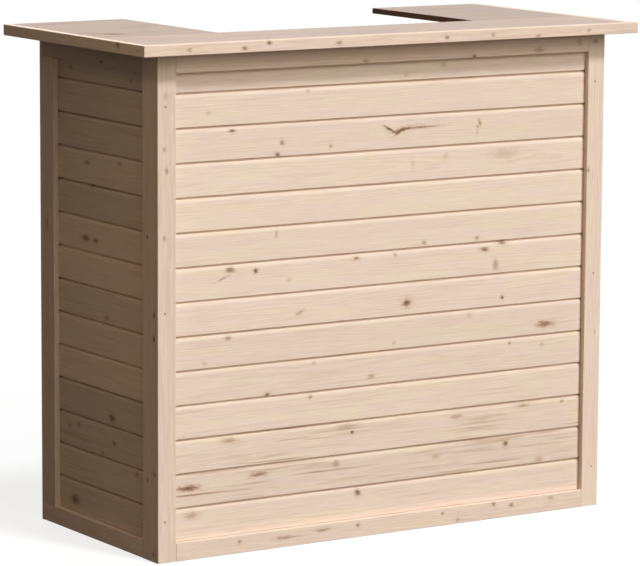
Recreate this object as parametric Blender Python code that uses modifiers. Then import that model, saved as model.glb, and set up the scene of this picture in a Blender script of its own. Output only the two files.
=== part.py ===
# Outdoor garden bar: a waist-high counter of planed softwood on three boarded walls.
#
# The bar is a U seen from above. A front wall and two short side walls are built as a
# batten frame, clad outside with horizontal tongue-and-groove boards, and trimmed with
# flat cover boards at the corners, the top and the floor. A thin U-shaped counter lies
# on the walls and hides its outer edge behind a fascia that is mitred at the corners.
#
# Units are metres. +X runs to the right along the front, +Y points away from the guest
# towards the open back, +Z is up. The origin lies on the floor under the middle of the
# counter.
#
# Run with: blender --background --python part.py

import math

import bpy
import bmesh
from mathutils import Matrix, Vector

# Overall sizes
TOP_HEIGHT = 1.100
WALL_WIDTH = 1.150
WALL_DEPTH = 0.518

# Counter
SIDE_OVERHANG = 0.0570
FRONT_OVERHANG = 0.0455
REAR_OVERHANG = 0.0585
COUNTER_THICKNESS = 0.0125
COUNTER_FRONT_DEPTH = 0.212
WING_WIDTH = 0.300
FASCIA_HEIGHT = 0.024
FASCIA_THICKNESS = 0.020

# Cover boards on the outside of the walls
TRIM_THICKNESS = 0.013
CORNER_BOARD_WIDTH = 0.044
FRONT_STILE_WIDTH = 0.051
REAR_STILE_WIDTH = 0.048
TOP_RAIL_HEIGHT = 0.052
BOTTOM_RAIL_HEIGHT = 0.039

# Tongue-and-groove cladding
BOARD_THICKNESS = 0.0125
BOARD_COVER = 0.0734
TOP_BOARD_SHOWING = 0.042
JOINT_DEPTH = 0.0050
JOINT_GAP = 0.0040
CHAMFER_HEIGHT = 0.0070
CHAMFER_DEPTH = 0.0022
BACK_GAP = 0.0012
BACK_GAP_DEPTH = 0.0025
CLADDING_FLOOR_CLEARANCE = 0.004

# Batten frame inside the walls
BATTEN = 0.040

# Fitting
SEAT_GAP = 0.0003
EDGE_ROUNDING = 0.0012
FASCIA_ROUNDING = 0.0020

# Levels and planes that follow from the sizes above
WALL_TOP = TOP_HEIGHT - COUNTER_THICKNESS - SEAT_GAP
COUNTER_LENGTH = WALL_WIDTH + 2 * SIDE_OVERHANG
COUNTER_DEPTH = FRONT_OVERHANG + WALL_DEPTH + REAR_OVERHANG
COUNTER_SIDE = COUNTER_LENGTH / 2
COUNTER_FRONT = -COUNTER_DEPTH / 2
COUNTER_REAR = COUNTER_DEPTH / 2
WALL_SIDE = WALL_WIDTH / 2
WALL_FRONT = COUNTER_FRONT + FRONT_OVERHANG
WALL_REAR = COUNTER_REAR - REAR_OVERHANG

# Layers of a wall, counted inwards from its outer face
CLADDING_OUTER = TRIM_THICKNESS + SEAT_GAP
CLADDING_INNER = CLADDING_OUTER + BOARD_THICKNESS
FRAME_OUTER = CLADDING_INNER + SEAT_GAP
FRAME_INNER = FRAME_OUTER + BATTEN

COLLECTION = "garden_bar"


def clear_scene():
    for obj in list(bpy.data.objects):
        bpy.data.objects.remove(obj, do_unlink=True)
    for collection in list(bpy.data.collections):
        bpy.data.collections.remove(collection)


def make_material(name, colour, roughness):
    material = bpy.data.materials.new(name)
    material.use_nodes = True
    shader = material.node_tree.nodes["Principled BSDF"]
    shader.inputs["Base Color"].default_value = (*colour, 1.0)
    shader.inputs["Roughness"].default_value = roughness
    shader.inputs["Metallic"].default_value = 0.0
    return material


def add_part(name, mesh, finish, location=(0.0, 0.0, 0.0)):
    """Put a mesh into the bar's collection as a named piece with its own material."""
    piece = bpy.data.objects.new(name, mesh)
    piece.location = location
    mesh.materials.append(make_material(name + "_" + finish["name"], finish["colour"], finish["roughness"]))
    bpy.data.collections[COLLECTION].objects.link(piece)
    return piece


def add_board(name, low, high, finish):
    """A planed board between two corners, with its edges eased."""
    low = Vector(low)
    high = Vector(high)
    mesh = bpy.data.meshes.new(name)
    shape = bmesh.new()
    bmesh.ops.create_cube(shape, size=1.0, matrix=Matrix.Diagonal((*(high - low), 1.0)))
    shape.to_mesh(mesh)
    shape.free()
    board = add_part(name, mesh, finish, (low + high) / 2)
    eased = board.modifiers.new("eased edges", "BEVEL")
    eased.width = EDGE_ROUNDING
    eased.segments = 1
    eased.limit_method = "ANGLE"
    return board


def add_fascia(name, outer_start, outer_end, inward, mitred_ends, finish):
    """A board round the counter's edge, whose ends at a corner are cut at 45 degrees.

    Its outer edge runs from outer_start to outer_end, seen from above, and inward points
    across its thickness. mitred_ends says of the start and of the end whether it is mitred.
    Only the four long edges are rounded, so that the mitres close.
    """
    ends = (Vector((*outer_start, 0.0)), Vector((*outer_end, 0.0)))
    middle = (ends[0] + ends[1]) / 2
    middle.z = TOP_HEIGHT - FASCIA_HEIGHT / 2
    run = (ends[1] - ends[0]).normalized()
    mesh = bpy.data.meshes.new(name)
    shape = bmesh.new()
    bmesh.ops.create_cube(shape, size=1.0)
    eased_weight = shape.edges.layers.float.new("bevel_weight_edge")
    for edge in shape.edges:
        edge[eased_weight] = float(edge.verts[0].co.x * edge.verts[1].co.x < 0)
    for corner in shape.verts:
        at_end = corner.co.x > 0
        place = ends[at_end].copy()
        if corner.co.y > 0:
            place += Vector((*inward, 0.0)) * FASCIA_THICKNESS
            if mitred_ends[at_end]:
                place += run * (-FASCIA_THICKNESS if at_end else FASCIA_THICKNESS)
        place.z = middle.z + corner.co.z * FASCIA_HEIGHT
        corner.co = place - middle
    bmesh.ops.recalc_face_normals(shape, faces=shape.faces)
    shape.to_mesh(mesh)
    shape.free()
    board = add_part(name, mesh, finish, middle)
    eased = board.modifiers.new("eased edges", "BEVEL")
    eased.width = FASCIA_ROUNDING
    eased.segments = 1
    eased.limit_method = "WEIGHT"
    return board


def cladding_joints(bottom, top):
    """Heights of the boards' square lower edges, from the top joint down to the floor."""
    joint_height = JOINT_GAP + CHAMFER_HEIGHT
    level = WALL_TOP - TOP_RAIL_HEIGHT - TOP_BOARD_SHOWING
    while level + BOARD_COVER < top - joint_height:
        level += BOARD_COVER
    levels = []
    while level - joint_height > bottom + joint_height:
        levels.append(level)
        level -= BOARD_COVER
    return levels


def cladding_outline(bottom, top):
    """Section through the boards as (depth, height) points, depth 0 at the outer face.

    Going down the outer side, each joint has the upper board's square lower edge, a
    shadow gap in front of the tongue, and the chamfered upper edge of the board below.
    Going up the inner side, the same joint shows as a narrow open gap.
    """
    levels = cladding_joints(bottom, top)
    outline = [(0.0, top)]
    for level in levels:
        tongue = level - JOINT_GAP
        outline += [
            (0.0, level),
            (JOINT_DEPTH, level),
            (JOINT_DEPTH, tongue),
            (CHAMFER_DEPTH, tongue),
            (0.0, tongue - CHAMFER_HEIGHT),
        ]
    outline += [(0.0, bottom), (BOARD_THICKNESS, bottom)]
    for level in reversed(levels):
        outline += [
            (BOARD_THICKNESS, level),
            (BOARD_THICKNESS - BACK_GAP_DEPTH, level),
            (BOARD_THICKNESS - BACK_GAP_DEPTH, level + BACK_GAP),
            (BOARD_THICKNESS, level + BACK_GAP),
        ]
    outline.append((BOARD_THICKNESS, top))
    return outline


def add_cladding(name, length, placing, finish):
    """The boards of one wall: their section, extruded along the wall.

    The section's plane is the curve's own XY plane, so the boards run along its Z.
    placing turns depth, height and run into the wall's own directions.
    """
    outline = cladding_outline(CLADDING_FLOOR_CLEARANCE, WALL_TOP)
    curve = bpy.data.curves.new(name + "_section", "CURVE")
    curve.dimensions = "2D"
    curve.fill_mode = "BOTH"
    curve.extrude = length / 2
    spline = curve.splines.new("POLY")
    spline.points.add(len(outline) - 1)
    for point, (depth, height) in zip(spline.points, outline):
        point.co = (depth, height, 0.0, 1.0)
    spline.use_cyclic_u = True
    section = bpy.data.objects.new(name + "_section", curve)
    bpy.data.collections[COLLECTION].objects.link(section)
    graph = bpy.context.evaluated_depsgraph_get()
    mesh = bpy.data.meshes.new_from_object(section.evaluated_get(graph))
    bpy.data.objects.remove(section, do_unlink=True)
    shape = bmesh.new()
    shape.from_mesh(mesh)
    bmesh.ops.remove_doubles(shape, verts=shape.verts, dist=0.00001)
    bmesh.ops.transform(shape, matrix=placing.to_3x3().to_4x4(), verts=shape.verts)
    bmesh.ops.recalc_face_normals(shape, faces=shape.faces)
    shape.to_mesh(mesh)
    shape.free()
    mesh.name = name
    return add_part(name, mesh, finish, placing.translation)


def axes(depth, height, run, place):
    """Matrix whose columns say where depth, height and run of a section point."""
    turned = Matrix((depth, height, run)).transposed().to_4x4()
    turned.translation = place
    return turned


PALE_PINE = {"name": "planed_pine", "colour": (0.76, 0.60, 0.45), "roughness": 0.65}
BOARD_PINE = {"name": "cladding_pine", "colour": (0.80, 0.64, 0.48), "roughness": 0.62}
FRAME_PINE = {"name": "sawn_pine", "colour": (0.70, 0.53, 0.37), "roughness": 0.80}


def build_front_wall():
    front = WALL_FRONT
    board_back = front + TRIM_THICKNESS
    for side, word in ((-1, "left"), (1, "right")):
        outer = side * WALL_SIDE
        inner = side * (WALL_SIDE - CORNER_BOARD_WIDTH)
        add_board("front_" + word + "_corner_board",
                  (min(outer, inner), front, 0.0), (max(outer, inner), board_back, WALL_TOP), PALE_PINE)
    rail_end = WALL_SIDE - CORNER_BOARD_WIDTH - SEAT_GAP
    add_board("front_top_rail", (-rail_end, front, WALL_TOP - TOP_RAIL_HEIGHT),
              (rail_end, board_back, WALL_TOP), PALE_PINE)
    add_board("front_bottom_rail", (-rail_end, front, 0.0),
              (rail_end, board_back, BOTTOM_RAIL_HEIGHT), PALE_PINE)
    length = 2 * (WALL_SIDE - CLADDING_OUTER)
    placing = axes((0, 1, 0), (0, 0, 1), (1, 0, 0), (0.0, front + CLADDING_OUTER, 0.0))
    add_cladding("front_cladding", length, placing, BOARD_PINE)


def build_side_wall(side, word):
    """One side wall. Front to back: corner board, front stile, boards, rear stile, end board."""
    outer = side * WALL_SIDE

    def board(name, layer_from, layer_to, y_from, y_to, z_from, z_to, finish=PALE_PINE):
        xs = sorted((outer - side * layer_from, outer - side * layer_to))
        add_board(name, (xs[0], y_from, z_from), (xs[1], y_to, z_to), finish)

    stile_front = WALL_FRONT + TRIM_THICKNESS + SEAT_GAP
    stile_back = stile_front + FRONT_STILE_WIDTH
    end_front = WALL_REAR - TRIM_THICKNESS
    trim_end = end_front - SEAT_GAP
    rear_stile_front = trim_end - REAR_STILE_WIDTH
    rail_front = stile_back + SEAT_GAP
    top_rail_low = WALL_TOP - TOP_RAIL_HEIGHT
    board(word + "_front_stile", 0.0, TRIM_THICKNESS, stile_front, stile_back, 0.0, WALL_TOP)
    board(word + "_top_rail", 0.0, TRIM_THICKNESS, rail_front, trim_end, top_rail_low, WALL_TOP)
    board(word + "_bottom_rail", 0.0, TRIM_THICKNESS, rail_front, trim_end, 0.0, BOTTOM_RAIL_HEIGHT)
    board(word + "_rear_stile", 0.0, TRIM_THICKNESS, rear_stile_front, trim_end,
          BOTTOM_RAIL_HEIGHT + SEAT_GAP, top_rail_low - SEAT_GAP)
    board(word + "_rear_end_board", 0.0, FRAME_INNER, end_front, WALL_REAR, 0.0, WALL_TOP)

    cladding_front = WALL_FRONT + FRAME_OUTER
    length = trim_end - cladding_front
    place = (side * (WALL_SIDE - CLADDING_OUTER), cladding_front + length / 2, 0.0)
    placing = axes((-side, 0, 0), (0, 0, 1), (0, 1, 0), place)
    add_cladding(word + "_cladding", length, placing, BOARD_PINE)


def build_frame():
    """Battens behind the boards: four posts, three bearers up and down, a middle stud."""
    front_outer = WALL_FRONT + FRAME_OUTER
    front_inner = front_outer + BATTEN
    rear_end = WALL_REAR - TRIM_THICKNESS - SEAT_GAP
    levels = {"bottom": (0.0, BATTEN), "top": (WALL_TOP - BATTEN, WALL_TOP)}
    for side, word in ((-1, "left"), (1, "right")):
        xs = sorted((side * (WALL_SIDE - FRAME_OUTER), side * (WALL_SIDE - FRAME_INNER)))
        add_board("front_" + word + "_post", (xs[0], front_outer, 0.0),
                  (xs[1], front_inner, WALL_TOP), FRAME_PINE)
        add_board("rear_" + word + "_post", (xs[0], rear_end - BATTEN, 0.0),
                  (xs[1], rear_end, WALL_TOP), FRAME_PINE)
        for level, (low, high) in levels.items():
            add_board(word + "_" + level + "_bearer", (xs[0], front_inner + SEAT_GAP, low),
                      (xs[1], rear_end - BATTEN - SEAT_GAP, high), FRAME_PINE)
    bearer_end = WALL_SIDE - FRAME_INNER - SEAT_GAP
    for level, (low, high) in levels.items():
        add_board("front_" + level + "_bearer", (-bearer_end, front_outer, low),
                  (bearer_end, front_inner, high), FRAME_PINE)
    add_board("front_middle_stud", (-BATTEN / 2, front_outer, BATTEN + SEAT_GAP),
              (BATTEN / 2, front_inner, WALL_TOP - BATTEN - SEAT_GAP), FRAME_PINE)


def build_counter():
    """Front panel and two wings, with a fascia round the front and the sides."""
    low = TOP_HEIGHT - COUNTER_THICKNESS
    panel_side = COUNTER_SIDE - FASCIA_THICKNESS - SEAT_GAP
    panel_front = COUNTER_FRONT + FASCIA_THICKNESS + SEAT_GAP
    panel_rear = COUNTER_FRONT + COUNTER_FRONT_DEPTH
    add_board("counter_front_panel", (-panel_side, panel_front, low),
              (panel_side, panel_rear, TOP_HEIGHT), PALE_PINE)
    add_fascia("counter_front_fascia", (-COUNTER_SIDE, COUNTER_FRONT), (COUNTER_SIDE, COUNTER_FRONT),
               (0, 1), (True, True), PALE_PINE)
    # The mitre's faces lie a seat gap apart, which is this much along each board.
    side_front = COUNTER_FRONT + SEAT_GAP * math.sqrt(2)
    for side, word in ((-1, "left"), (1, "right")):
        xs = sorted((side * panel_side, side * (COUNTER_SIDE - WING_WIDTH)))
        add_board("counter_" + word + "_wing", (xs[0], panel_rear + SEAT_GAP, low),
                  (xs[1], COUNTER_REAR, TOP_HEIGHT), PALE_PINE)
        outer = side * COUNTER_SIDE
        add_fascia("counter_" + word + "_fascia", (outer, side_front), (outer, COUNTER_REAR),
                   (-side, 0), (True, False), PALE_PINE)


def main():
    clear_scene()
    collection = bpy.data.collections.new(COLLECTION)
    bpy.context.scene.collection.children.link(collection)
    build_front_wall()
    build_side_wall(-1, "left")
    build_side_wall(1, "right")
    build_frame()
    build_counter()


main()
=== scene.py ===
# %% [markdown]
# # An outdoor garden bar in planed pine
#
# The real bar is a U of three boarded walls under a thin counter, all in softwood that has
# been planed and then left bare. Everything that the eye enjoys on it is timber: long
# horizontal boards with a shadow line between them, knots, and a grain that changes from
# board to board.
#
# The sizes are already fixed in the frame that is loaded here. This script gives every
# piece its timber: each board is sawn from its own imagined log, so that grain, knots and
# tone follow the board through its thickness and out at its ends.

# %% The frame to build around
import math
import random

import bmesh
import bpy
from mathutils import Matrix, Vector


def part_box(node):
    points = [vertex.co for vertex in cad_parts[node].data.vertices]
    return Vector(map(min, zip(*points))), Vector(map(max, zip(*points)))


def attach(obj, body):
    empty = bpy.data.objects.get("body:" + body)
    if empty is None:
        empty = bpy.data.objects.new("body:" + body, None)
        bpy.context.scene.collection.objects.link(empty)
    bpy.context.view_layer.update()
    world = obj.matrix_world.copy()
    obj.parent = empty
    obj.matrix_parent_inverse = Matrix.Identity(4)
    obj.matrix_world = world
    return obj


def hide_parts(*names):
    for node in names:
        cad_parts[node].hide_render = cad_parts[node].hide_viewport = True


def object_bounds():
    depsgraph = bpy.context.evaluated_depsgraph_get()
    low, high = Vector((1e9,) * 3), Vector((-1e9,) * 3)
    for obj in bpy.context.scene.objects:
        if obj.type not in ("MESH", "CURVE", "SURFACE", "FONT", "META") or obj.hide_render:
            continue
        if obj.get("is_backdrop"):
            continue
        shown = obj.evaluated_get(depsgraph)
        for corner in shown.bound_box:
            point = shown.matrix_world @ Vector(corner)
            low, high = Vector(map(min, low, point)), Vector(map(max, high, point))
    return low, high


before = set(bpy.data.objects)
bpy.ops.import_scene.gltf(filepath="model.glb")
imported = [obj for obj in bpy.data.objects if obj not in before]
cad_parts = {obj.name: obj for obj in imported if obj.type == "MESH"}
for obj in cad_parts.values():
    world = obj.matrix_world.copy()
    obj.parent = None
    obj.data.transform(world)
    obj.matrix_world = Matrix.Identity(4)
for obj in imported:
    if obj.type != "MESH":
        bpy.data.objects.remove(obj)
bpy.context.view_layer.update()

# %% [markdown]
# ## Units, colours and nodes
#
# Joiners think in millimetres, so the sizes below are in millimetres and one factor turns
# them into metres. Colours are given as sRGB hex values, while Blender's shaders
# add up light and need linear values. One function does that conversion for all of them.
#
# A shader is a tree of small nodes. One function adds a node, sets its options and plugs
# in its inputs. An input may be a number, a colour, a socket, or a whole node, of which
# the first output is then used.

# %% Three small helpers
MM = 0.001


def linear(hex_colour):
    """An sRGB hex colour as the linear RGBA that shaders use."""
    channels = [int(hex_colour[i:i + 2], 16) / 255 for i in (1, 3, 5)]
    return (*[c / 12.92 if c <= 0.04045 else ((c + 0.055) / 1.055) ** 2.4 for c in channels], 1.0)


def add(tree, kind, inputs=(), **settings):
    """Add a shader node. Inputs are listed in order, or named in a dictionary."""
    node = tree.nodes.new("ShaderNode" + kind)
    for name, value in settings.items():
        setattr(node, name, value)
    sockets = [socket for socket in node.inputs if socket.enabled]
    names = [socket.name for socket in sockets]
    for key, value in inputs.items() if isinstance(inputs, dict) else enumerate(inputs):
        socket = sockets[names.index(key)] if isinstance(key, str) else sockets[key]
        if isinstance(value, bpy.types.Node):
            value = next(output for output in value.outputs if output.enabled)
        if isinstance(value, bpy.types.NodeSocket):
            tree.links.new(value, socket)
        else:
            socket.default_value = value
    return node


print("pale pine in linear light:", [round(c, 3) for c in linear("#ecd5c2")])

# %% [markdown]
# ## The camera
#
# The photographer stood well back, to the left of the bar, with a long lens a little above
# the counter. A long lens keeps the boards nearly parallel. The place and the angles were
# worked out from the bar's corners and board joints, in the bar's own frame.

# %% Camera
CAMERA_PLACE = Vector((-4.2969, -6.7495, 1.7510))
CAMERA_TURNED_RIGHT = math.radians(32.4456)
CAMERA_TILTED_DOWN = math.radians(8.7486)
CAMERA_ROLL = math.radians(0.3226)
LENS_MM = 204.053
SENSOR_MM = 36.0
SIGHT_LIMIT = 300.0

camera = bpy.data.objects.new("camera", bpy.data.cameras.new("camera"))
bpy.context.scene.collection.objects.link(camera)
camera.data.sensor_width = SENSOR_MM
camera.data.lens = LENS_MM
camera.data.clip_end = SIGHT_LIMIT
camera.location = CAMERA_PLACE
camera.rotation_euler = (
    Matrix.Rotation(-CAMERA_TURNED_RIGHT, 3, "Z")
    @ Matrix.Rotation(math.pi / 2 - CAMERA_TILTED_DOWN, 3, "X")
    @ Matrix.Rotation(CAMERA_ROLL, 3, "Z")
).to_euler()
bpy.context.scene.camera = camera
print("camera stands", round(CAMERA_PLACE.length, 2), "m from the bar")

# %% [markdown]
# ## Studio light
#
# The key lamp stands at the front, a little to the right and high up, so the counter
# throws a shadow on the top boards and the left wall stays in the shade. A very broad lamp
# low in front opens that shadow. One at half height, softer than the key, reaches only the
# shadow's lower part, so the shadow pales downwards. Another, behind the bar, shows its open
# back in other views and brightens the counter.
#
# A sun lamp is the simplest lamp for these: its strength is the light that falls on a
# surface facing it, and a strength of pi shows a colour just as it is written.

# %% Lamps
def add_lamp(name, right_of_front, height, share, softness, colour="#ffffff"):
    """A distant lamp. Share is the part of full light that a facing surface gets; angles in degrees."""
    around, up = math.radians(right_of_front), math.radians(height)
    towards_lamp = Vector((math.sin(around) * math.cos(up), -math.cos(around) * math.cos(up), math.sin(up)))
    lamp = bpy.data.objects.new(name, bpy.data.lights.new(name, "SUN"))
    lamp.data.energy = math.pi * share
    lamp.data.angle = math.radians(softness)
    lamp.data.color = linear(colour)[:3]
    lamp.rotation_euler = towards_lamp.to_track_quat("Z", "Y").to_euler()
    bpy.context.scene.collection.objects.link(lamp)
    print(name, "gives", share, "of full light")


add_lamp("key_lamp", 17, 52, 0.76, 9, "#f8fbff")
add_lamp("front_fill_lamp", 5, 8, 0.43, 60, "#fffcee")
add_lamp("high_fill_lamp", 10, 39, 0.25, 28)
add_lamp("back_fill_lamp", 150, 18, 0.34, 50)

# %% [markdown]
# The shaded left wall is a little brighter at its front end than at its rear. A weak warm
# spotlight makes that difference, in the way that photographers call feathering: it aims past
# the front of the bar, so only the soft rim of its beam falls on the wall and fades rearwards.

# %% A feathered spotlight
LEFT_FILL_PLACE = Vector((-3.25, -0.15, 3.57))
LEFT_FILL_AIM = Vector((-0.575, -0.91, 0.60))
LEFT_FILL_BEAM = math.radians(36)
LEFT_FILL_RADIUS = 0.5
LEFT_FILL_WATTS = 88.0
LEFT_FILL_COLOUR = "#ffe2bc"

left_fill = bpy.data.objects.new("left_fill_lamp", bpy.data.lights.new("left_fill_lamp", "SPOT"))
left_fill.data.spot_size = LEFT_FILL_BEAM
left_fill.data.spot_blend = 1.0
left_fill.data.shadow_soft_size = LEFT_FILL_RADIUS
left_fill.data.energy = LEFT_FILL_WATTS
left_fill.data.color = linear(LEFT_FILL_COLOUR)[:3]
left_fill.location = LEFT_FILL_PLACE
left_fill.rotation_euler = (LEFT_FILL_PLACE - LEFT_FILL_AIM).to_track_quat("Z", "Y").to_euler()
left_fill.visible_camera = False
left_fill.visible_glossy = False
bpy.context.scene.collection.objects.link(left_fill)
print("the spotlight is", round((LEFT_FILL_PLACE - LEFT_FILL_AIM).length, 2), "m away")

# %% [markdown]
# ## White surroundings
#
# The bar stands in front of plain white. The world is pure white where the camera or a
# reflection looks at it, and only a dim warm grey for the light that it sheds on the bar.
# That way the white costs no contrast on the shaded wall.

# %% A white world
WHITE = linear("#ffffff")
SHADE_LIGHT = "#594b3a"


def seen_directly(tree):
    """1 where a ray comes from the camera, a reflection or glass, else 0."""
    path = add(tree, "LightPath")
    shiny = add(tree, "Math", [path.outputs["Is Glossy Ray"], path.outputs["Is Transmission Ray"]],
                operation="MAXIMUM")
    return add(tree, "Math", [path.outputs["Is Camera Ray"], shiny], operation="MAXIMUM")


world = bpy.data.worlds.new("white_studio")
bpy.context.scene.world = world
world.use_nodes = True
tree = world.node_tree
tree.nodes.clear()
shade = add(tree, "Background", {"Color": linear(SHADE_LIGHT), "Strength": 1.0})
white = add(tree, "Background", {"Color": WHITE, "Strength": 1.0})
sky = add(tree, "MixShader", [seen_directly(tree), shade, white])
add(tree, "OutputWorld", {"Surface": sky})
print("world:", world.name, "with a shade light of", SHADE_LIGHT)

# %% [markdown]
# The floor does the same, but a share of it stays an ordinary matt surface, which keeps the
# bar's soft shadow. Its glow is set a trifle above white, to make up for what the matt share
# lacks. It lies a hair below the bar's feet, so the two surfaces never fight for one height.

# %% A white floor
FLOOR_SHADE = "#43392c"
FLOOR_GLOW = 1.02
FLOOR_GLOW_SHARE = 0.78
FLOOR_SIZE = 160.0
FLOOR_DROP = 0.3 * MM

floor_paint = bpy.data.materials.new("matt_white_floor")
floor_paint.use_nodes = True
tree = floor_paint.node_tree
tree.nodes.clear()
matt = add(tree, "BsdfDiffuse", {"Color": WHITE})
glow = add(tree, "Emission", {"Color": WHITE, "Strength": FLOOR_GLOW})
bright = add(tree, "MixShader", [FLOOR_GLOW_SHARE, matt, glow])
dull = add(tree, "BsdfDiffuse", {"Color": linear(FLOOR_SHADE)})
seen = add(tree, "MixShader", [seen_directly(tree), dull, bright])
add(tree, "OutputMaterial", {"Surface": seen})

floor_shape = bmesh.new()
bmesh.ops.create_grid(floor_shape, x_segments=1, y_segments=1, size=FLOOR_SIZE / 2)
floor_mesh = bpy.data.meshes.new("floor")
floor_shape.to_mesh(floor_mesh)
floor_shape.free()
floor_mesh.materials.append(floor_paint)
floor = bpy.data.objects.new("floor", floor_mesh)
floor.location.z = -FLOOR_DROP
bpy.context.scene.collection.objects.link(floor)
floor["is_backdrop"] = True
print("floor", FLOOR_SIZE, "m wide")

# %% [markdown]
# ## What the grain of pine is made of
#
# A pine trunk is a stack of cones, one for each year. Pale, soft wood grows in spring and a
# thin tan band closes the year. A saw cuts straight through the cones, so a board shows
# nearly straight lines where it was cut beside the heart, and long arches where it was cut
# across it. A branch leaves a knot, and the grain flows around it like water round a post.
#
# A picture of wood can't follow a board round its edges and out at its end. Here each point
# of a board instead knows where it lay in the log. That place is stored on the mesh as
# "grain": along the trunk, and sideways and through from its heart. The shader measures the
# distance from the heart and draws the year rings with it.

# %% Noise that is drawn out along the grain
def streaks(tree, grain, long_mm, wide_mm, detail=2.0):
    """Soft lumps of about long_mm along the grain and wide_mm across it."""
    scale = (1000 / long_mm, 1000 / wide_mm, 1000 / wide_mm)
    stretched = add(tree, "VectorMath", [grain, scale], operation="MULTIPLY")
    return add(tree, "TexNoise", {"Vector": stretched, "Scale": 1.0, "Detail": detail, "Roughness": 0.55})


def drift(tree, grain, long_mm, wide_mm, reach_mm):
    """A push sideways and through the board that changes slowly, up to about reach_mm."""
    noise = streaks(tree, grain, long_mm, wide_mm).outputs["Color"]
    centred = add(tree, "VectorMath", [noise, (0.5, 0.5, 0.5)], operation="SUBTRACT")
    reach = 4 * reach_mm * MM
    return add(tree, "VectorMath", [centred, (0.0, reach, reach)], operation="MULTIPLY")


print("two kinds of noise: streaks for colour, drift for bends")

# %% [markdown]
# A knot is stored on the faces around it as two vectors: its place along and across the
# board with its darkness, and its half length, half height and tilt. Every stretch of a
# board carries its three nearest knots, so a few may lie close together.
#
# The distance from a knot is counted in its own radii: 1 is its rim. Three things follow
# from it: the brown branch wood, which is darkest in its middle, the tan halo of resin, and
# how far the grain is pushed aside. The push reaches further along the grain than across it.

# %% How a knot colours the wood and pushes the grain
KNOT_REACH, KNOT_REACH_ACROSS = 3.9, 1 / 0.42
KNOT_PUSH = 0.9
HALO_REACH, HALO_DEPTH = 3.0, 0.35
KNOT_WANDER_MM = (7, 5, 0.8)
KNOT_RAGGED_MM = (14, 2.4)
KNOT_SLOTS = ("knot_1", "knot_2", "knot_3")
BRANCH_RINGS = ((0.0, 0.95), (0.45, 0.70), (0.85, 0.68), (1.1, 0.38), (1.7, 0.0))


def knot_field(tree, grain, slot):
    """Branch wood, halo and sideways push at a point, from the knot in one slot."""
    place = add(tree, "Attribute", attribute_name=slot).outputs["Vector"]
    size = add(tree, "Attribute", attribute_name=slot + "_size").outputs["Vector"]
    dark = add(tree, "SeparateXYZ", [place]).outputs["Z"]
    tilt = add(tree, "SeparateXYZ", [size]).outputs["Z"]
    crooked = add(tree, "VectorMath", [grain, drift(tree, grain, *KNOT_WANDER_MM)], operation="ADD")
    away = add(tree, "VectorMath", [crooked, place], operation="SUBTRACT")
    flat = add(tree, "VectorMath", [away, (1.0, 1.0, 0.0)], operation="MULTIPLY")
    level = add(tree, "VectorRotate", {"Vector": flat, "Angle": tilt}, rotation_type="Z_AXIS")
    radii = add(tree, "VectorMath", [level, size], operation="DIVIDE")
    radii = add(tree, "VectorMath", [radii, (1.0, 1.0, 0.0)], operation="MULTIPLY")
    distance = add(tree, "VectorMath", [radii], operation="LENGTH")
    ragged = add(tree, "MapRange", [streaks(tree, grain, *KNOT_RAGGED_MM), 0.3, 0.7, 0.6, 1.4])
    distance = add(tree, "Math", [distance, ragged], operation="MULTIPLY")

    wood = add(tree, "ValToRGB", [add(tree, "Math", [distance, 1 / KNOT_REACH], operation="MULTIPLY")])
    ramp = wood.color_ramp.elements
    ramp.remove(ramp[1])
    for number, (radius, shade) in enumerate(BRANCH_RINGS):
        stop = ramp[0] if number == 0 else ramp.new(radius / KNOT_REACH)
        stop.color = (shade, shade, shade, 1.0)
    wood = add(tree, "Math", [wood, dark], operation="MULTIPLY")
    halo = add(tree, "MapRange", [distance, 0.8, HALO_REACH, HALO_DEPTH, 0.0],
               interpolation_type="SMOOTHSTEP")
    halo = add(tree, "Math", [halo, dark], operation="MULTIPLY")

    reach = (1 / KNOT_REACH, 1 / KNOT_REACH_ACROSS, 0.0)
    reach = add(tree, "VectorMath", [radii, reach], operation="MULTIPLY")
    reach = add(tree, "VectorMath", [reach], operation="LENGTH")
    hold = add(tree, "MapRange", [reach, 0.0, 1.0, KNOT_PUSH, 0.0], interpolation_type="SMOOTHSTEP")
    sideways = add(tree, "SeparateXYZ", [flat]).outputs["Y"]
    firm = add(tree, "Math", [hold, dark], operation="MULTIPLY")
    push = add(tree, "Math", [firm, sideways], operation="MULTIPLY")
    return wood, halo, push


print("a knot bends the grain out to", KNOT_REACH, "of its radii")

# %% The three nearest knots together
def nearest_knots(tree, grain):
    """The strongest branch wood and halo, and the sum of the pushes, of the three nearest knots."""
    knot, halo, push = knot_field(tree, grain, KNOT_SLOTS[0])
    for slot in KNOT_SLOTS[1:]:
        more_wood, more_halo, more_push = knot_field(tree, grain, slot)
        knot = add(tree, "Math", [knot, more_wood], operation="MAXIMUM")
        halo = add(tree, "Math", [halo, more_halo], operation="MAXIMUM")
        push = add(tree, "Math", [push, more_push], operation="ADD")
    return knot, halo, push


print("each point sees", len(KNOT_SLOTS), "knots")

# %% [markdown]
# ## Timber finishes
#
# All the timber is pine, and its finishes differ in how it was worked. The wall boards and
# the trim come from the planer: smooth, pale and matt. The counter was glued up and sanded.
# The battens inside were only sawn, which leaves fuzzy marks across the grain.
#
# Bare pine is a rough dielectric, so the shine is low and broad: an index of refraction of
# 1.45 and a roughness near 0.65. End grain drinks up light, so it is darker and rougher.

# %% Year rings
RING_MM = 3.6
TRUNK_TAPER = 0.008
TRUNK_SWAY_MM = (420, 55, 4.0)
RING_WAVES_MM = (45, 9, 0.4)
LATE_WOOD_STARTS, LATE_WOOD_FULL = 0.30, 0.86
MOOD_RHYTHM = 0.23
FAINTEST_RING = 0.15


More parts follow.
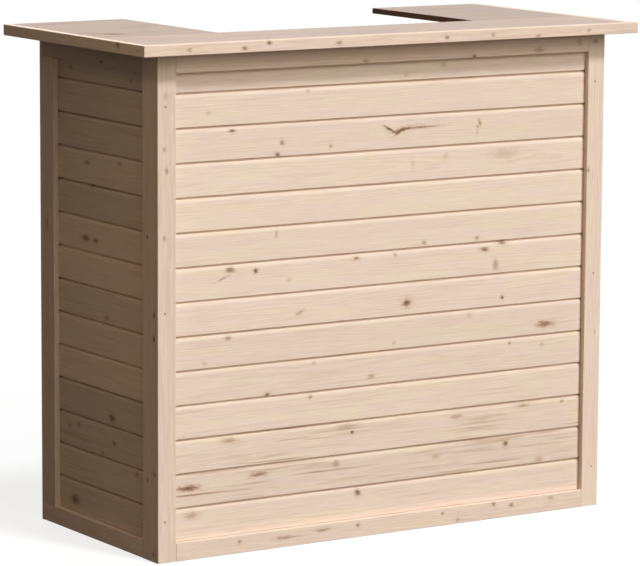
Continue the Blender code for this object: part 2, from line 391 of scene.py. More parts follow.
def year_rings(tree, grain, push):
    """The tan late wood of each year: 0 in spring wood, 1 where a year closes."""
    moved = add(tree, "VectorMath", [grain, drift(tree, grain, *TRUNK_SWAY_MM)], operation="ADD")
    moved = add(tree, "VectorMath", [moved, drift(tree, grain, *RING_WAVES_MM)], operation="ADD")
    moved = add(tree, "VectorMath", [moved, add(tree, "CombineXYZ", {"Y": push})], operation="SUBTRACT")
    moved = add(tree, "VectorMath", [moved, (0.0, 1.0, 1.0)], operation="MULTIPLY")
    from_heart = add(tree, "VectorMath", [moved], operation="LENGTH")
    along = add(tree, "SeparateXYZ", [grain]).outputs["X"]
    cone = add(tree, "Math", [along, TRUNK_TAPER, from_heart], operation="MULTIPLY_ADD")
    years = add(tree, "Math", [cone, 1 / (RING_MM * MM)], operation="MULTIPLY")
    ring = add(tree, "ValToRGB", [add(tree, "Math", [years], operation="FRACT")])
    ring.color_ramp.elements[0].position = LATE_WOOD_STARTS
    ring.color_ramp.elements[1].position = LATE_WOOD_FULL
    ring.color_ramp.elements.new(1.0).color = (0.0, 0.0, 0.0, 1.0)
    moods = add(tree, "TexNoise", {"W": years, "Scale": MOOD_RHYTHM, "Detail": 2.0}, noise_dimensions="1D")
    good_years = add(tree, "MapRange", [moods, 0.3, 0.7, FAINTEST_RING, 1.0])
    return add(tree, "Math", [ring, good_years], operation="MULTIPLY")


print("year rings are", RING_MM, "mm wide")

# %% [markdown]
# More patterns lie under and over the year rings, each with a real size along and across the
# grain. Broad patches drift between pink and honey. Fibres less than a millimetre wide give the
# fine grey-brown lines. The figure is made of bolder streaks that come and go in clouds. A wave
# pattern draws 20 waves in tau metres when its scale is 1, and that sets the saw marks' pitch.

# %% Patches, figure and saw marks
PATCHES_MM = (170, 30)
FIBRES_MM = (60, 0.9)
FIGURE_MM = (260, 6.5)
CLOUDS_MM = (190, 24)
SAW_MARK_MM = 5.1322
WAVES_AT_SCALE_1 = 20 / math.tau


def patches(tree, grain, pink, pale, honey):
    """The ground colour of the wood: pink, pale and honey in broad patches."""
    ground = add(tree, "ValToRGB", [streaks(tree, grain, *PATCHES_MM)])
    ground.color_ramp.elements[0].position = 0.36
    ground.color_ramp.elements[0].color = linear(pink)
    ground.color_ramp.elements[1].position = 0.64
    ground.color_ramp.elements[1].color = linear(honey)
    ground.color_ramp.elements.new(0.5).color = linear(pale)
    return ground


def figured(tree, grain, figure):
    """How strongly the bold streaks show: 0 between them, up to the board's figure on them."""
    lines = add(tree, "MapRange", [streaks(tree, grain, *FIGURE_MM, detail=3.0), 0.50, 0.74, 0.0, 1.0])
    clouds = add(tree, "MapRange", [streaks(tree, grain, *CLOUDS_MM), 0.42, 0.66, 0.12, 1.0])
    cloudy_lines = add(tree, "Math", [lines, clouds], operation="MULTIPLY")
    return add(tree, "Math", [cloudy_lines, figure], operation="MULTIPLY")


def saw_teeth(tree, grain):
    """The slightly bent marks that a bandsaw's teeth leave across the grain."""
    level = add(tree, "VectorMath", [grain, (1.0, 0.06, 0.06)], operation="MULTIPLY")
    scale = 1000 / SAW_MARK_MM / WAVES_AT_SCALE_1
    return add(tree, "TexWave", {"Vector": level, "Scale": scale, "Distortion": 3.0, "Detail": 2.0})


print("streaks", FIGURE_MM[1], "mm wide, fibres", FIBRES_MM[1], "mm, a saw mark every", SAW_MARK_MM, "mm")

# %% Knots and end grain over the colour
KNOT_WOOD = "#9c7455"
KNOT_HEART = "#5c3a26"
KNOT_COVER = 1.15
RESIN = "#bd9068"
END_GRAIN = "#b79273"
END_COVER = 0.7


def knots_and_ends(tree, colour, knot, halo, end):
    """Lay resin and branch wood over a colour, and darken it at the board's ends."""
    colour = add(tree, "Mix", [halo, colour, linear(RESIN)], data_type="RGBA")
    knot_colour = add(tree, "Mix", [knot, linear(KNOT_WOOD), linear(KNOT_HEART)], data_type="RGBA")
    knot_cover = add(tree, "Math", [knot, KNOT_COVER], operation="MULTIPLY", use_clamp=True)
    colour = add(tree, "Mix", [knot_cover, colour, knot_colour], data_type="RGBA")
    end_share = add(tree, "Math", [end, END_COVER], operation="MULTIPLY")
    return add(tree, "Mix", [end_share, colour, linear(END_GRAIN)], data_type="RGBA", blend_type="MULTIPLY")


print("branch wood from", KNOT_WOOD, "to", KNOT_HEART, "in resin", RESIN)

# %% One recipe for pine
TONE_STEP = 0.10
END_RINGS = 0.35
END_ROUGHER = 0.15
RING_RELIEF = 0.6
SAW_FUZZ = 0.25
PINE_IOR = 1.45
PINE_SHINE = 0.15


def pine(name, pale, pink, honey, tan, brown, ring_depth, fibre_depth, roughness, relief_mm, saw_marks=0.0):
    """Pine timber. The colours are sRGB hex values; the depths say how strongly lines show."""
    material = bpy.data.materials.new(name)
    material.use_nodes = True
    tree = material.node_tree
    tree.nodes.clear()
    grain = add(tree, "Attribute", attribute_name="grain").outputs["Vector"]
    board = add(tree, "SeparateXYZ", [add(tree, "Attribute", attribute_name="board").outputs["Vector"]])
    tone, figure, end = board.outputs

    knot, halo, push = nearest_knots(tree, grain)

    rings = year_rings(tree, grain, push)
    depth = add(tree, "Math", [end, END_RINGS, ring_depth], operation="MULTIPLY_ADD")
    ring_share = add(tree, "Math", [rings, depth], operation="MULTIPLY")
    ground = patches(tree, grain, pink, pale, honey)
    colour = add(tree, "Mix", [ring_share, ground, linear(tan)], data_type="RGBA")

    fibre = streaks(tree, grain, *FIBRES_MM, detail=3.0)
    fibre_share = add(tree, "MapRange", [fibre, 0.42, 0.75, 0.0, fibre_depth])
    colour = add(tree, "Mix", [fibre_share, colour, linear(brown)], data_type="RGBA")
    colour = add(tree, "Mix", [figured(tree, grain, figure), colour, linear(brown)], data_type="RGBA")

    value = add(tree, "Math", [tone, TONE_STEP, 1.0], operation="MULTIPLY_ADD")
    colour = add(tree, "HueSaturation", {"Value": value, "Color": colour})
    colour = knots_and_ends(tree, colour, knot, halo, end)

    raised_rings = add(tree, "Math", [rings, RING_RELIEF], operation="MULTIPLY")
    relief = add(tree, "Math", [fibre, raised_rings], operation="ADD")
    if saw_marks:
        marks = saw_teeth(tree, grain)
        relief = add(tree, "Math", [marks, saw_marks, relief], operation="MULTIPLY_ADD")
        fuzz = add(tree, "MapRange", [marks, 0.0, 1.0, SAW_FUZZ, 0.0])
        colour = add(tree, "Mix", [fuzz, colour, linear(brown)], data_type="RGBA")
    bump = add(tree, "Bump", {"Strength": 1.0, "Distance": relief_mm * MM, "Height": relief})
    rough = add(tree, "Math", [end, END_ROUGHER, roughness], operation="MULTIPLY_ADD")
    shader = add(tree, "BsdfPrincipled", {"Base Color": colour, "Roughness": rough, "IOR": PINE_IOR,
                                          "Specular IOR Level": PINE_SHINE, "Normal": bump})
    add(tree, "OutputMaterial", {"Surface": shader})
    return material


print("pine: index of refraction", PINE_IOR, "and a tone step of", TONE_STEP)

# %% Four finishes
# Pine off a moulding planer: pale and even, so the joints between the boards read first.
planed_boards = pine("planed_pine_boards", "#ebd8c9", "#ead5c7", "#ebdac5", "#cfab8a", "#b08b6b",
                     ring_depth=0.30, fibre_depth=0.30, roughness=0.62, relief_mm=0.05)
# The same timber in flat trim, a touch pinker: it frames the boards.
planed_trim = pine("planed_pine_trim", "#ebd6c6", "#e9d3c6", "#ebd7c3", "#cba888", "#ab8769",
                   ring_depth=0.30, fibre_depth=0.35, roughness=0.62, relief_mm=0.05)
# Glued and sanded pine, duller and browner than the walls: that is painted shade, which tones down the lamps'
# strong light on the counter top.
counter_painted_shade = pine("glued_sanded_pine_painted_shade", "#c1aea2", "#bca69e", "#c3af9d", "#a08575", "#8b7264",
                      ring_depth=0.35, fibre_depth=0.35, roughness=0.70, relief_mm=0.04)
# Straight from the bandsaw: yellower and fuzzy, with a tooth mark every few millimetres.
sawn_battens = pine("sawn_pine_battens", "#e0c4a4", "#dcbf9f", "#e2c8a2", "#c29a6c", "#a88155",
                    ring_depth=0.35, fibre_depth=0.45, roughness=0.80, relief_mm=0.12, saw_marks=0.8)
print("finishes:", [m.name for m in (planed_boards, planed_trim, counter_painted_shade, sawn_battens)])

# %% [markdown]
# ## Sawing a board
#
# A planer makes every board the same way: it pulls the timber through, and its knives leave
# one section along the whole length. The mesh is made like that too. The section is drawn
# once, with its corners eased by short arcs, and repeated at stations along the board.
#
# The stations lie just beyond each knot's reach. Between two of them the faces carry the
# numbers of the knots that matter there. The end faces are marked as end grain.

# %% Section corners
ARC_STEPS = 4


def eased_outline(corners):
    """An outline with its corners rounded. A corner is (across, inward, radius) in millimetres."""
    outline = []
    for before, here, after in zip(corners[-1:] + corners[:-1], corners, corners[1:] + corners[:1]):
        point, radius = Vector(here[:2]), here[2]
        if not radius:
            outline.append(point * MM)
            continue
        to_before = (Vector(before[:2]) - point).normalized()
        to_after = (Vector(after[:2]) - point).normalized()
        half = to_before.angle(to_after) / 2
        centre = point + (to_before + to_after).normalized() * radius / math.sin(half)
        start = point + to_before * radius / math.tan(half) - centre
        end = point + to_after * radius / math.tan(half) - centre
        turn = -start.angle_signed(end)
        for step in range(ARC_STEPS + 1):
            outline.append((centre + Matrix.Rotation(turn * step / ARC_STEPS, 2) @ start) * MM)
    return outline


def flat_section(width, thickness, easing):
    """The section of a plain planed board."""
    corners = ((0, 0), (width, 0), (width, thickness), (0, thickness))
    return eased_outline([(*corner, easing) for corner in corners])


print("an eased corner has", ARC_STEPS, "facets")

# %% An empty mesh for timber
FACE_NOTES = ("board", *[slot + part for slot in KNOT_SLOTS for part in ("", "_size")])


def new_timber():
    """An empty mesh with room for the grain of its points and the knots of its faces."""
    shape = bmesh.new()
    shape.verts.layers.float_vector.new("grain")
    for note in FACE_NOTES:
        shape.faces.layers.float_vector.new(note)
    return shape


print("face notes:", FACE_NOTES)

# %% Where a board is scored
LEAST_STEP_MM = 0.1


def knot_stations(length, knots):
    """Where to score a board, so that each knot's reach has faces of its own. Lengths in mm."""
    marks = {0.0, length}
    for along, _, half_length, *_ in knots:
        marks |= {along - KNOT_REACH * half_length, along + KNOT_REACH * half_length}
    inside = sorted(mark for mark in marks if 0 <= mark <= length)
    return [inside[0]] + [b for a, b in zip(inside, inside[1:]) if b - a > LEAST_STEP_MM]


print("a metre with a knot in the middle is scored at", knot_stations(1000.0, [(500, 30, 5, 3, 0, 1)]))

# %% Sawing one board
NO_KNOT = (-9000.0, 0.0, 1.0, 1.0, 0.0, 0.0)
LOG_LENGTH = 4.0
HEART_SIDEWAYS_MM = 45
HEART_DEPTH_MM = (25, 80)


def saw_board(shape, corner, axes, section, length, knots, rng, tone=0.0, figure=0.15, mitres=(0, 0)):
    """Saw one board into a mesh. Its axes run along, across and inward; length and knots in mm.

    A mitre of 1 at the start, or of -1 at the end, cuts that end at 45 degrees.
    """
    along, across, inward = axes
    width = max(point[0] for point in section)
    heart = Vector((rng.uniform(0, LOG_LENGTH),
                    width / 2 + rng.uniform(-HEART_SIDEWAYS_MM, HEART_SIDEWAYS_MM) * MM,
                    rng.choice((-1, 1)) * rng.uniform(*HEART_DEPTH_MM) * MM))
    grain = shape.verts.layers.float_vector["grain"]
    notes = [shape.faces.layers.float_vector[note] for note in FACE_NOTES]

    stations = knot_stations(length, knots)
    slants = [mitres[0]] + [0] * (len(stations) - 2) + [mitres[1]]
    rings = []
    for station, slant in zip(stations, slants):
        ring = []
        for a, d in section:
            run = station * MM + slant * d
            point = shape.verts.new(corner + along * run + across * a + inward * d)
            point[grain] = (run + heart.x, a - heart.y, d - heart.z)
            ring.append(point)
        rings.append(ring)

    def note_faces(faces, middle, end_grain):
        """Write the board's look and its nearest knots on some faces."""
        spare = [NO_KNOT] * len(KNOT_SLOTS)
        near = sorted([*knots, *spare], key=lambda k: abs(middle - k[0]) / k[2])[:len(KNOT_SLOTS)]
        values = [Vector((tone, figure, end_grain))]
        for x, y, half_length, half_height, tilt, dark in near:
            values.append(Vector((x * MM + heart.x, y * MM - heart.y, dark)))
            values.append(Vector((half_length * MM, half_height * MM, -math.radians(tilt))))
        for face in faces:
            for note, value in zip(notes, values):
                face[note] = value

    count = len(section)
    faces = []
    for ring, after, here, there in zip(rings, rings[1:], stations, stations[1:]):
        sides = [shape.faces.new((ring[i], ring[(i + 1) % count], after[(i + 1) % count], after[i]))
                 for i in range(count)]
        note_faces(sides, (here + there) / 2, 0.0)
        faces += sides
    for ring, station in ((rings[0], stations[0]), (rings[-1], stations[-1])):
        cap = shape.faces.new(ring)
        note_faces([cap], station, 1.0)
        faces.append(cap)
    bmesh.ops.recalc_face_normals(shape, faces=faces)


print("a board without knots still keeps", len(KNOT_SLOTS), "empty places for them")

# %% From a mesh to a named piece
def finish_timber(name, shape, material, slot, *nodes):
    """Turn sawn timber into a named piece that stands for nodes of the frame."""
    mesh = bpy.data.meshes.new(name)
    shape.to_mesh(mesh)
    shape.free()
    mesh.materials.append(material)
    piece = bpy.data.objects.new(name, mesh)
    bpy.context.scene.collection.objects.link(piece)
    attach(piece, "root")
    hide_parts(*nodes)
    print(name, len(mesh.polygons), "faces")


print("frame pieces to cut in timber:", len(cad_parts))

# %% [markdown]
# ## Knots nobody planned
#
# Where the real bar shows its knots, they are listed one by one, in millimetres on their
# board. Hidden boards get knots by chance, from a seeded dice that always falls the same
# way. Pine branches sit in whorls, one for each year's growth, so knots come in loose groups.

# %% Chance knots
CHANCE_RADII_MM = (1.8, 2.5, 3.0, 4.0, 6.5)
CHANCE_STRETCH = (1.0, 2.2)
CHANCE_TILT = 12
CHANCE_DARKNESS = (0.35, 0.5, 0.9, 1.0)
END_MARGIN_MM, EDGE_MARGIN_MM = 20, 4


def chance_knots(rng, length, width, per_metre=3.0):
    """Knots at random places on a board, as (along, across, half length, half height, tilt, dark)."""
    knots = []
    for _ in range(int(length * MM * per_metre + rng.random())):
        radius = rng.choice(CHANCE_RADII_MM)
        along = rng.uniform(END_MARGIN_MM, length - END_MARGIN_MM)
        across = rng.uniform(EDGE_MARGIN_MM, width - EDGE_MARGIN_MM)
        half_length = radius * rng.uniform(*CHANCE_STRETCH)
        tilt = rng.uniform(-CHANCE_TILT, CHANCE_TILT)
        knots.append((along, across, half_length, radius, tilt, rng.choice(CHANCE_DARKNESS)))
    return knots


print("by chance, on a metre:", len(chance_knots(random.Random(1), 1000, 70)), "knots")

# %% Laying a board out on its node
AXIS = {"X": Vector((1, 0, 0)), "Y": Vector((0, 1, 0)), "Z": Vector((0, 0, 1))}


def lay_out(node, along, outside):
    """The corner, axes and sizes in mm of a board that fills a node, with its outer face outside."""
    low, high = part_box(node)
    inward = AXIS[outside[-1]] * (1 if outside[0] == "-" else -1)
    across = next(AXIS[name] for name in "ZXY" if name not in (along, outside[-1]))
    corner = Vector(low)
    if outside[0] == "+":
        corner += (high - low).dot(-inward) * -inward
    size = high - low
    measures = [abs(size.dot(axis)) / MM for axis in (AXIS[along], across, inward)]
    return corner, (AXIS[along], across, inward), measures


def flat_board(node, along, outside, material, slot, easing, knots=None, **looks):
    """A planed or sawn board in place of a node. Knots lie along it in the frame's own mm."""
    corner, axes, (length, width, thickness) = lay_out(node, along, outside)
    rng = random.Random(node)
    start = corner.dot(axes[0]) / MM
    if knots is None:
        knots = chance_knots(rng, length, width)
    else:
        knots = [(x - start, *rest) for x, *rest in knots]
    shape = new_timber()
    saw_board(shape, corner, axes, flat_section(width, thickness, easing), length, knots, rng, **looks)
    finish_timber(node + "_timber", shape, material, slot, node)


print("a corner board of", [round(v, 1) for v in lay_out("front_left_corner_board", "Z", "-Y")[2]], "mm")

# %% [markdown]
# ## The wall boards
#
# Each wall is clad with tongue-and-groove boards that show 73 mm of their face. The upper
# edge has a chamfer and a tongue, the lower edge a groove. Where two boards meet, the lower
# board's chamfer catches the light and the narrow gap above it stays dark. Rain runs off
# over the chamfer, because the tongue points up.
#
# The frame has one solid for a wall's boards. Here every board is sawn by itself, in one
# mesh for each wall. The boards are counted down from number 0, whose lower edge is the top
# joint, 993 mm above the floor. The numbers below are heights above a board's lower edge, or
# depths behind its face.

# %% The section of a wall board
BOARD_COVER = 73.4
BOARD_THICK = 12.5
TOP_JOINT = 993.2
CHAMFER_START = BOARD_COVER - 11.2
CHAMFER_END = BOARD_COVER - 4.8
CHAMFER_DEPTH = 1.7
CHAMFER_EASING = 16.0
TONGUE_FRONT, TONGUE_BACK = 6.0, 9.0
TONGUE_TOP = BOARD_COVER + 5.0
SHOULDER = BOARD_COVER - 1.2
EDGE_EASING, TONGUE_EASING = 0.5, 0.8
GROOVE_FRONT, GROOVE_BACK, GROOVE_DEEP = 5.7, 9.3, 6.5


def wall_board_section(low, high):
    """The board's section between two heights above its lower edge, in mm."""
    lower_easing = EDGE_EASING if low == 0 else 0
    front = [(low, 0, lower_easing)]
    if high < CHAMFER_START:
        upper = [(high, 0, 0.0), (high, BOARD_THICK, 0.0)]
    else:
        upper = [(CHAMFER_START, 0, CHAMFER_EASING), (CHAMFER_END, CHAMFER_DEPTH, EDGE_EASING),
                 (CHAMFER_END, TONGUE_FRONT, 0.0), (TONGUE_TOP, TONGUE_FRONT, TONGUE_EASING),
                 (TONGUE_TOP, TONGUE_BACK, TONGUE_EASING), (SHOULDER, TONGUE_BACK, 0.0),
                 (SHOULDER, BOARD_THICK, EDGE_EASING)]
    back = [(low, BOARD_THICK, lower_easing)]
    if low == 0:
        back += [(0, GROOVE_BACK, 0.0), (GROOVE_DEEP, GROOVE_BACK, 0.0), (GROOVE_DEEP, GROOVE_FRONT, 0.0),
                 (0, GROOVE_FRONT, 0.0)]
    return eased_outline(front + upper + back)


print("a wall board's section has", len(wall_board_section(0, BOARD_COVER)), "points")

# %% Cladding a wall
BOARD_NUMBERS = range(-1, 20)
CHANCE_KNOTS_PER_METRE = 1.6
CHANCE_TONE = 0.5
CHANCE_FIGURE = (0.1, 0.5)


def clad_wall(node, outside, along, knots, looks, zero=0.0):
    """All the boards of one wall. Knots and looks are keyed by board, counted down from 0."""
    corner, axes, (length, height, _) = lay_out(node, along, outside)
    floor_gap = corner.z / MM
    start = corner.dot(axes[0]) / MM - zero
    shape = new_timber()
    count = 0
    for number in BOARD_NUMBERS:
        lower_edge = TOP_JOINT - number * BOARD_COVER
        low = max(0.0, floor_gap - lower_edge)
        high = min(BOARD_COVER, floor_gap + height - lower_edge)
        if high <= low:
            continue
        rng = random.Random(node + str(number))
        if knots is None:
            placed = chance_knots(rng, length, BOARD_COVER, CHANCE_KNOTS_PER_METRE)
        else:
            placed = [(x - start, *rest) for x, *rest in knots.get(number, [])]
        chance_look = (rng.uniform(-CHANCE_TONE, CHANCE_TONE), rng.uniform(*CHANCE_FIGURE))
        tone, figure = looks.get(number, chance_look)
        board_corner = corner + axes[1] * ((lower_edge - floor_gap) * MM)
        saw_board(shape, board_corner, axes, wall_board_section(low, high), length, placed, rng, tone, figure)
        count += 1
    print(node, count, "boards")
    finish_timber(node + "_boards", shape, planed_boards, "cladding_pine", node)


print("a full board covers", BOARD_COVER, "mm")

# %% [markdown]
# The knots of the front wall, board by board from the top. Each is (along from the middle,
# up from the board's lower edge, half length, half height, tilt in degrees, darkness), in
# millimetres. A branch that was cut lengthwise leaves a long spike instead of a round knot,
# as on board 2, which is drawn with four slim knots side by side.
#
# A board's look is its tone and its figure. A tone of 1 makes it a tenth lighter and a tone of
# -1 a tenth darker. The figure says how strongly the brown streaks show.

# %% Front wall
FRONT_KNOTS = {
    0: [(51, 10, 4, 3, 0, 0.3), (150, 29, 5, 4, 0, 0.3)],
    1: [(-445, 27.5, 5, 3, 0, 0.3), (-199, 62, 4, 3, 0, 0.3)],
    2: [(-387, 60, 6, 2.5, 0, 0.9), (-274, 3, 4, 3, 0, 0.9), (-264, 28, 3.5, 3.5, 0, 0.7),
        (-141, 14.5, 3, 3.5, 0, 0.5), (10, 42, 12, 2.1, -26, 1.0), (34, 34.5, 10, 2.3, 28, 1.0),
        (42, 39, 18, 3.0, 9, 1.0), (96, 42, 38, 1.8, 1.5, 0.7), (247, 43, 2.6, 6, 12, 0.65),
        (241, 35.5, 2.2, 2.2, 0, 0.7), (240, 24, 2, 7, 0, 0.25)],
    3: [(71, 36, 3, 8, 0, 0.2), (157, 49, 6, 5, 0, 0.2), (317, 45, 26, 9, 0, 0.22)],
    5: [(-277, 53, 3, 6, 0, 0.4), (102, 8.5, 4, 3, 0, 0.6), (243, 8.5, 4, 3, 0, 0.6)],
    6: [(-411, 40.5, 10, 1.6, 20, 0.5), (-392, 58.5, 8, 4, 0, 0.8), (-328, 52, 4, 4, 0, 1.0),
        (-244, 26, 4, 3, 0, 0.3), (-74, 60, 6, 3, 0, 0.8), (27, 60, 3, 3, 0, 0.5),
        (264, 55, 8, 4, 0, 0.8), (294, 19, 5, 9, 0, 0.5), (311, 66, 9, 3, 0, 0.8)],
    7: [(-218, 26, 9, 3, 25, 0.45), (58, 25.5, 7, 7, 0, 0.95), (313, 17, 3, 3, 0, 1.0)],
    8: [(-455, 10, 4, 3, 0, 0.3), (-396, 60, 5, 3, 0, 0.6), (25, 13, 4, 3, 0, 0.3),
        (224, 58, 6, 5, 0, 0.25), (432, 21, 15, 5, 0, 0.8)],
    9: [(-299, 3, 5, 3, 0, 0.9), (-181, 60, 4, 3, 0, 0.35), (-33, 18, 8, 4, 0, 0.45),
        (335, 59, 3, 3, 0, 0.6), (424, 49, 4, 3, 0, 0.3)],
    10: [(-189, 60, 4, 3, 0, 0.6)],
    11: [(-394, 59, 13, 4, 0, 0.45), (-97, 59, 22, 5, 0, 0.4), (-82, 45, 3, 3, 0, 1.0),
         (194, 54, 12, 4, 0, 0.4), (375, 61, 14, 2.5, 0, 0.6), (481, 60, 3, 3, 0, 0.7)],
    12: [(-495, 39, 20, 4.5, 0, 0.95), (-318, 51, 15, 3.5, 0, 0.75), (-123, 53, 6, 5, 0, 0.5),
         (140, 42, 8, 4, 0, 0.35), (328, 53, 5, 5, 0, 0.9), (419, 8, 8, 4, 0, 0.45)],
    13: [(-486, 52.5, 11, 5, 0, 0.5), (-66, 57, 6, 5, 0, 0.9)],
}
# Board 0 lies in the counter's shadow, and its light tone is painted light that pales that shadow.
FRONT_BOARD_LOOKS_AND_PAINTED_LIGHT = {
    0: (0.8, 0.15), 1: (0.2, 0.05), 2: (0.1, 0.10), 3: (0.4, 0.05), 4: (0.4, 0.05), 5: (0.2, 0.10),
    6: (0.3, 0.20), 7: (0.3, 0.15), 8: (-0.1, 0.20), 9: (-0.1, 0.30), 10: (0.1, 0.35),
    11: (-0.2, 1.10), 12: (-0.5, 1.20), 13: (-0.2, 0.35),
}
clad_wall("front_cladding", "-Y", "X", FRONT_KNOTS, FRONT_BOARD_LOOKS_AND_PAINTED_LIGHT)

# %% [markdown]
# The left wall's knots are counted from the wall's front face. They are larger and darker
# than the front's: boards for the sides are cut from what is left.

# %% Side walls
LEFT_KNOTS = {
    0: [(400, 24, 6, 4, 0, 0.6), (134, 16, 6, 4, 0, 0.4)],
    3: [(184, 56, 8, 3, 0, 0.5), (328, 45, 9, 4, 0, 0.6)],
    4: [(310, 71, 5, 3.5, 0, 0.9)],
    5: [(292, 26, 8, 4, 0, 0.85), (335, 26, 12, 5, 0, 0.95)],
    7: [(244, 11, 7, 4, 0, 0.6)],
    10: [(221, 16, 10, 7, 0, 1.0)],
    11: [(212, 35, 6, 4, 0, 0.7), (264, 5, 5, 3, 0, 0.6), (370, 51, 6, 4, 0, 0.6), (411, 43, 6, 4, 0, 0.6)],
    12: [(113, 59, 5, 4, 0, 0.6)],
    13: [(388, 27, 14, 8, 0, 1.0)],
}
# The dark tones of boards 0 to 2 are partly the boards' own colour and partly painted shade under the
# counter's overhang.
LEFT_BOARD_LOOKS_AND_PAINTED_SHADE = {
    0: (-2.4, 0.50), 1: (-1.6, 0.50), 2: (-1.4, 0.60), 3: (-0.2, 0.55), 4: (-1.0, 0.70), 5: (0.8, 0.50),
    6: (1.3, 0.45), 7: (0.1, 0.70), 8: (0.8, 0.45), 9: (1.1, 0.50), 10: (-1.1, 0.90), 11: (-1.0, 1.00),
    12: (-0.2, 0.75), 13: (-0.2, 0.75),
}
wall_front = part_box("front_left_corner_board")[0].y / MM
clad_wall("left_cladding", "-X", "Y", LEFT_KNOTS, LEFT_BOARD_LOOKS_AND_PAINTED_SHADE, zero=wall_front)
clad_wall("right_cladding", "+X", "Y", None, {})

# %% [markdown]
# ## Trim
#
# Flat boards, 13 mm thick, cover the ends of the wall boards at the corners, the joint with
# the counter and the foot of the wall. Their long edges are eased to about a millimetre, as
# a planer leaves them, and their ends are cut square.
#
# Knots on an upright piece are counted up from the floor, and on a rail from the middle of the
# bar. The left wall's trim is listed with its tone, which on its top rail is painted shade
# under the counter, and the right wall's gets chance knots.

# %% Trim on the front
TRIM_EASING = 1.2


def trim(node, along, outside, knots=None, **looks):
    """A planed trim board in place of a node, with the eased edges of trim."""
    flat_board(node, along, outside, planed_trim, "planed_pine", TRIM_EASING, knots, **looks)


trim("front_left_corner_board", "Z", "-Y",
     [(989, 19, 6, 4, 0, 0.25), (878, 16, 4, 2.5, 0, 0.5), (832, 22, 5, 2.5, 0, 0.6),
      (692, 16, 5, 2.5, 0, 0.5)], tone=-0.5)
trim("front_right_corner_board", "Z", "-Y",
     [(1057, 17, 3, 6, 0, 0.6), (769, 4, 4, 2.5, 0, 0.7), (400, 30, 4, 2, 0, 0.3)], tone=0.4)
trim("front_top_rail", "X", "-Y",
     [(-61, 5, 5, 3, 0, 0.5), (221, 3, 4, 3, 0, 0.9), (396, 9, 9, 4, 0, 0.5), (505, 22, 5, 4, 0, 0.4)],
     tone=0.3, figure=0.3)
trim("front_bottom_rail", "X", "-Y",
     [(-375, 25, 4, 3, 0, 0.6), (-260, 21, 18, 2.5, 0, 0.6), (-165, 26, 13, 2.5, 0, 0.6),
      (-73, 26, 4, 3, 0, 0.7), (150, 27, 3, 2.5, 0, 0.7), (191, 8, 3, 3, 0, 0.5), (288, 33, 4, 3, 0, 0.7),
      (336, 26, 4, 3, 0, 0.7), (445, 30, 6, 3, 0, 0.4)], tone=0.0, figure=0.3)

# %% Trim on the sides
LEFT_TRIM = {
    "front_stile": (0.0, [(691, 31, 4, 2.5, 0, 0.8), (529, 3, 5, 3, 0, 0.9), (478, 3, 6, 3, 0, 0.9),
                          (189, 3, 4, 2.5, 0, 0.8), (173, 31, 4, 2.5, 0, 0.7), (16, 6, 4, 3, 0, 0.8)]),
    "rear_stile": (-0.8, [(668, 30, 9, 4, 0, 0.5)]),
    # The top rail's very dark tone is painted shade under the counter's overhang.
    "top_rail": (-3.7, [(-25, 7, 6, 3, 0, 0.8)]),
    "bottom_rail": (1.4, []),
}
for part, (tone, knots) in LEFT_TRIM.items():
    along = "Z" if part.endswith("stile") else "Y"
    trim("left_" + part, along, "-X", knots, tone=tone, figure=0.3)
    trim("right_" + part, along, "+X", tone=-0.2, figure=0.3)
for side in ("left", "right"):
    trim(side + "_rear_end_board", "Z", "+Y")

# %% [markdown]
# ## The frame inside the walls
#
# Square battens carry the boards and the counter. They don't show from the guest's side, so
# they were left as the saw cut them.

# %% Battens
BATTEN_EASING = 0.6
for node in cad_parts:
    if node.endswith(("_post", "_stud")):
        flat_board(node, "Z", "+Y", sawn_battens, "sawn_pine", BATTEN_EASING)
    elif node.endswith("_bearer"):
        along = "X" if node.startswith("front") else "Y"
        flat_board(node, along, "+Z", sawn_battens, "sawn_pine", BATTEN_EASING)

# %% [markdown]
# ## The counter
#
# The counter is a thin U of glued boards. Their grain runs the long way of the bar in all
# three parts, so the ends of the wings show end grain towards the person who serves. A
# fascia hides the edge on the three outer sides and makes the thin top look stout. It is
# mitred at the corners, so that no end grain shows there.

# %% Counter
COUNTER_EASING = 0.8
COUNTER_PARTS = {
    "counter_front_panel": ([], 0.6, 0.2),
    "counter_left_wing": ([(-548, 72, 22, 12, -32, 1.0), (-590, 112, 30, 10, -32, 0.5)], -0.8, 0.8),
    "counter_right_wing": ([], -1.0, 0.3),
}
for node, (knots, tone, figure) in COUNTER_PARTS.items():
    flat_board(node, "X", "+Z", counter_painted_shade, "counter_pine", COUNTER_EASING, knots,
               tone=tone, figure=figure)

# %% Fascia
FASCIA_EASING = 1.6
FRONT_FASCIA_KNOTS = [
    (-525, 11, 4, 3, 0, 0.5), (-392, 9, 5, 3, 0, 0.7), (-332, 18, 4, 3, 0, 0.9), (-159, 11, 6, 3, 0, 0.6),
    (118, 11, 4, 3, 0, 0.7), (239, 11, 4, 3, 0, 0.5), (359, 4, 5, 3, 0, 0.5), (497, 11, 4, 3, 0, 0.5),
]
LEFT_FASCIA_KNOTS = [(-200, 17, 4, 4, 0, 0.8)]
FASCIAS = {
    "counter_front_fascia": ("X", "-Y", FRONT_FASCIA_KNOTS, 0.1, (1, -1)),
    "counter_left_fascia": ("Y", "-X", LEFT_FASCIA_KNOTS, 1.2, (1, 0)),
    "counter_right_fascia": ("Y", "+X", [], 1.2, (1, 0)),
}
for node, (along, outside, knots, tone, mitres) in FASCIAS.items():
    flat_board(node, along, outside, planed_trim, "planed_pine", FASCIA_EASING, knots,
               tone=tone, mitres=mitres)

# %% [markdown]
# ## Screws
#
# Small countersunk screws hold the corner boards, and one nail holds each side fascia near its
# mitre. They have the brown baked coat of outdoor fixings, so only dark matt dots of a few
# millimetres show. The coat is an ordinary dielectric, speckled where it was baked unevenly.

# %% The coat of the screws
COAT_SPECKLE_MM = 0.8

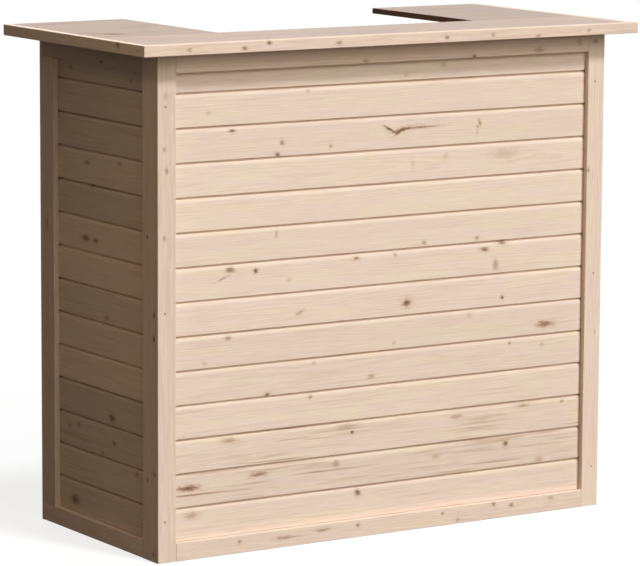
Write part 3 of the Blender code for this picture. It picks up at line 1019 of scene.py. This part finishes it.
coated_steel = bpy.data.materials.new("brown_coated_steel")
coated_steel.use_nodes = True
tree = coated_steel.node_tree
tree.nodes.clear()
spots = add(tree, "TexNoise", {"Scale": 1000 / COAT_SPECKLE_MM, "Detail": 3.0})
coat = add(tree, "ValToRGB", [spots])
coat.color_ramp.elements[0].color = linear("#33261d")
coat.color_ramp.elements[1].color = linear("#5d4736")
steel_roughness = add(tree, "MapRange", [spots, 0.3, 0.7, 0.45, 0.7])
steel = add(tree, "BsdfPrincipled", {"Base Color": coat, "Roughness": steel_roughness})
add(tree, "OutputMaterial", {"Surface": steel})
print("finish:", coated_steel.name)

# %% A screw head
HEAD_SIDES = 20
HEAD_RADIUS = 2.3
HEAD_PROUD = 0.15
HEAD_SUNK = 0.6
RECESS_RADIUS = 1.3
RECESS_FLOOR_RADIUS = 0.7 * RECESS_RADIUS
RECESS_DEPTH = 0.5


def screw_head(shape, place, outwards):
    """One head: a flat rim, a cone down into the drive recess, and the recess floor."""
    turn = outwards.to_track_quat("Z", "Y").to_matrix()
    levels = ((HEAD_RADIUS, -HEAD_SUNK), (HEAD_RADIUS, HEAD_PROUD),
              (RECESS_RADIUS, HEAD_PROUD), (RECESS_FLOOR_RADIUS, -RECESS_DEPTH))
    rings = []
    for radius, out in levels:
        ring = []
        for side in range(HEAD_SIDES):
            angle = math.tau * side / HEAD_SIDES
            point = Vector((radius * math.cos(angle), radius * math.sin(angle), out)) * MM
            ring.append(shape.verts.new(place + turn @ point))
        rings.append(ring)
    faces = [shape.faces.new((a[i], a[(i + 1) % HEAD_SIDES], b[(i + 1) % HEAD_SIDES], b[i]))
             for a, b in zip(rings, rings[1:]) for i in range(HEAD_SIDES)]
    faces += [shape.faces.new(rings[0]), shape.faces.new(rings[-1])]
    bmesh.ops.recalc_face_normals(shape, faces=faces)


print("a screw head is", 2 * HEAD_RADIUS, "mm across")

# %% [markdown]
# A screw's place is given across its corner board and up from the floor, in millimetres. The
# fascia's nail is given by its distance behind the front edge.

# %% Screws and nails in their places
SCREWS = {"front_left_corner_board": [(19, 967), (17, 533), (16, 88)],
          "front_right_corner_board": [(19, 968), (23, 535), (27, 91)]}
NAIL_BEHIND_FRONT = 28
shape = bmesh.new()
for node, places in SCREWS.items():
    low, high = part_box(node)
    for across, height in places:
        screw_head(shape, Vector((low.x + across * MM, low.y, height * MM)), Vector((0, -1, 0)))
front_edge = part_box("counter_front_fascia")[0].y
for node, outwards in (("counter_left_fascia", -1), ("counter_right_fascia", 1)):
    low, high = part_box(node)
    outer = high.x if outwards > 0 else low.x
    place = Vector((outer, front_edge + NAIL_BEHIND_FRONT * MM, (low.z + high.z) / 2))
    screw_head(shape, place, Vector((outwards, 0, 0)))
mesh = bpy.data.meshes.new("screw_heads")
shape.to_mesh(mesh)
shape.free()
mesh.materials.append(coated_steel)
screw_heads = bpy.data.objects.new("screw_heads", mesh)
bpy.context.scene.collection.objects.link(screw_heads)
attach(screw_heads, "root")
print("screws:", sum(len(places) for places in SCREWS.values()), "and two nails")

# %% [markdown]
# ## Measuring the result
#
# The dressed bar has to keep the frame's size, so its visual box is printed.

# %% Sizes and finish
low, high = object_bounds()
print("visual box", [round(v, 4) for v in high - low])
bpy.context.scene.view_settings.view_transform = "Standard"
